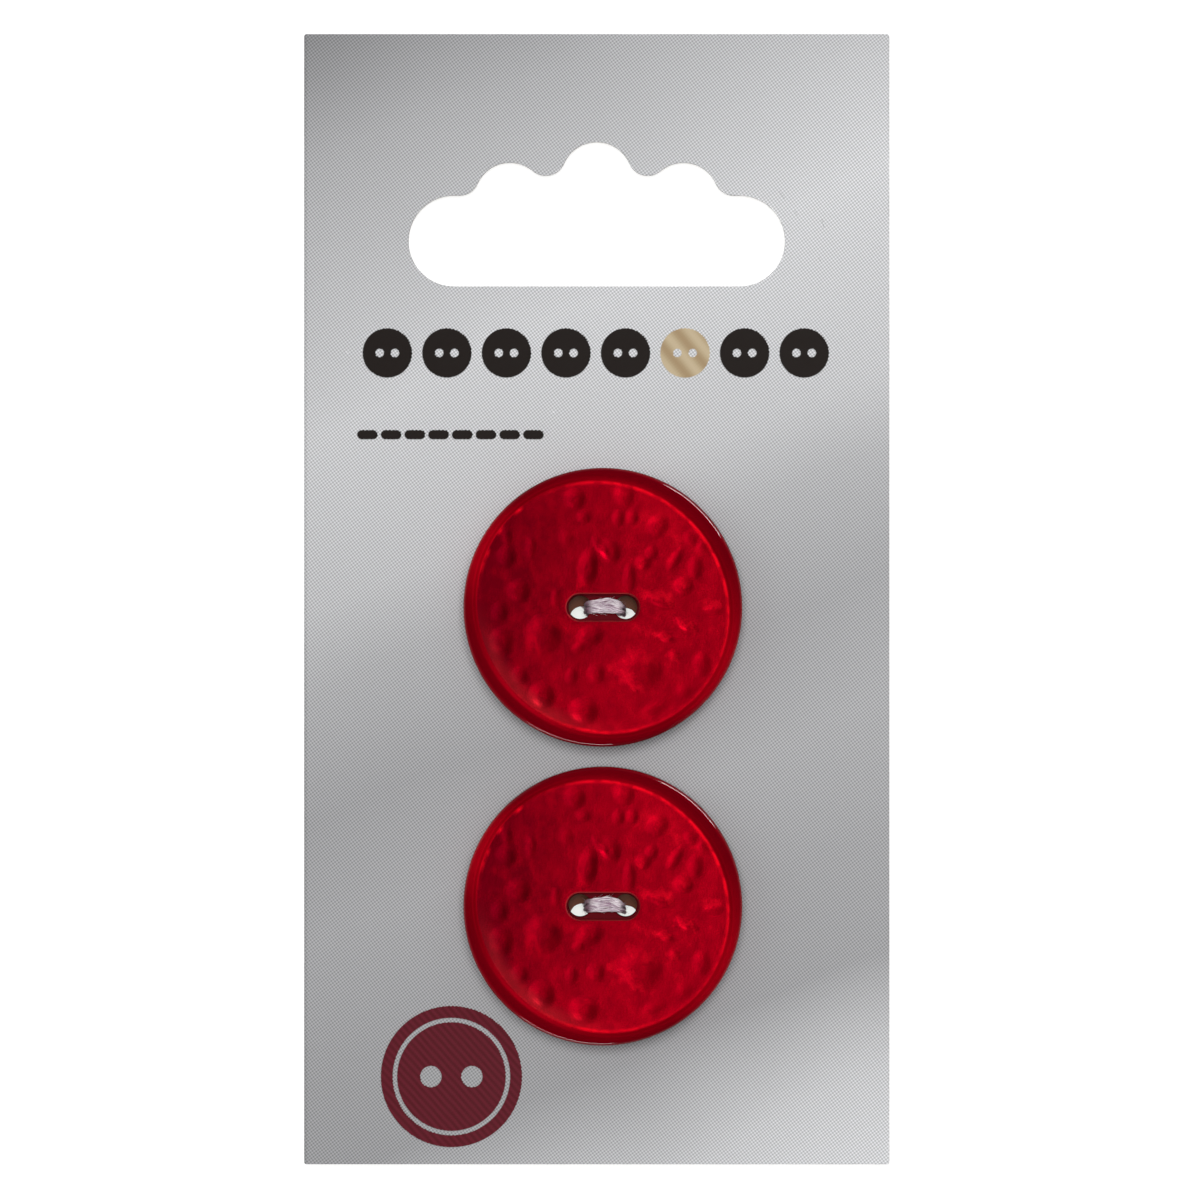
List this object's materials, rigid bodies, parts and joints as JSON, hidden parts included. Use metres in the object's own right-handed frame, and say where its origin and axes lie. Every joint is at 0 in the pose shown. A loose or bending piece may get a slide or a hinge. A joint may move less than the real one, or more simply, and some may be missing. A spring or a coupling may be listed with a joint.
{
  "type": "card of buttons",
  "caption": "Flat hanging card with a lobed hang slot, carrying round two-hole sewing buttons tied to its face with thread.",
  "frame": {"origin": "under the middle of the card, level with the lowest point of the knots behind it", "axes": "+Z out of the printed face, +Y up the card towards the hang slot, +X to the right of the printed face"},
  "size_m": [0.058, 0.112, 0.0047],
  "materials": {
    "printed_board": "thin solid board with a satin silver-grey print on its face",
    "red_plastic": "glossy, dark clear red rim round a pearly dented field",
    "tying_thread": "off-white twisted thread"
  },
  "bodies": {
    "root": {"card": "printed_board", "upper_button": "red_plastic", "lower_button": "red_plastic", "upper_thread": "tying_thread", "lower_thread": "tying_thread"}
  },
  "joints": []
}
